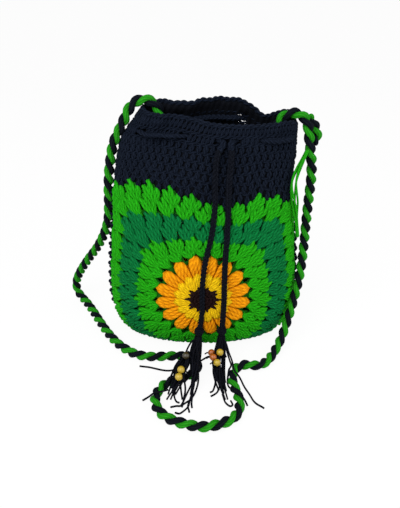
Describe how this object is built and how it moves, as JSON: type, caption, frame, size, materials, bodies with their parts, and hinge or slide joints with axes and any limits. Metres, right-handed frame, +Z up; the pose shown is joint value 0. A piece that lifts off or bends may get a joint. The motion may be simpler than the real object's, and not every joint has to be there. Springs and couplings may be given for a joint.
{
  "type": "crochet drawstring handbag",
  "caption": "Crochet bucket bag with a sunflower square on each side, a gathered dark top, a beaded drawstring and a two-colour rope strap.",
  "frame": {"origin": "middle of the base, on the surface that the bag stands on", "axes": "+Z up towards the mouth, -Y out of the front square, +X towards the bag's right side as the picture shows it"},
  "size_m": [0.3463, 0.2774, 0.3324],
  "materials": {
    "brown": "matte yarn",
    "yellow": "matte yarn",
    "orange": "matte yarn",
    "bright_green": "matte yarn",
    "teal_green": "matte yarn",
    "navy": "matte yarn",
    "bead_yellow": "lacquered",
    "bead_brown": "lacquered"
  },
  "bodies": {
    "root": {"front_flower_centre": "brown", "front_flower_yellow": "yellow", "front_flower_petals": "orange", "front_inner_green": "bright_green", "front_teal_green": "teal_green", "front_outer_green": "bright_green", "back_flower_centre": "brown", "back_flower_yellow": "yellow", "back_flower_petals": "orange", "back_inner_green": "bright_green", "back_teal_green": "teal_green", "back_outer_green": "bright_green", "joining_seam": "navy", "top_band": "navy", "drawstring_end_left": "navy", "drawstring_round": "navy", "drawstring_end_right": "navy", "tassel_left": "navy", "tassel_left_side": "navy", "tassel_right": "navy", "tassel_knot_left": "navy", "tassel_knot_right": "navy", "bead_left_upper": "bead_yellow", "bead_left_lower": "bead_yellow", "bead_right_lower": "bead_yellow", "bead_right_side": "bead_yellow", "bead_left_dark": "bead_brown", "bead_right_upper": "bead_brown", "bead_right_middle": "bead_brown", "strap": "bright_green", "strap_knot_left": "navy", "strap_knot_right": "navy", "strap_end": "navy", "strap_tail": "bright_green"}
  },
  "joints": []
}
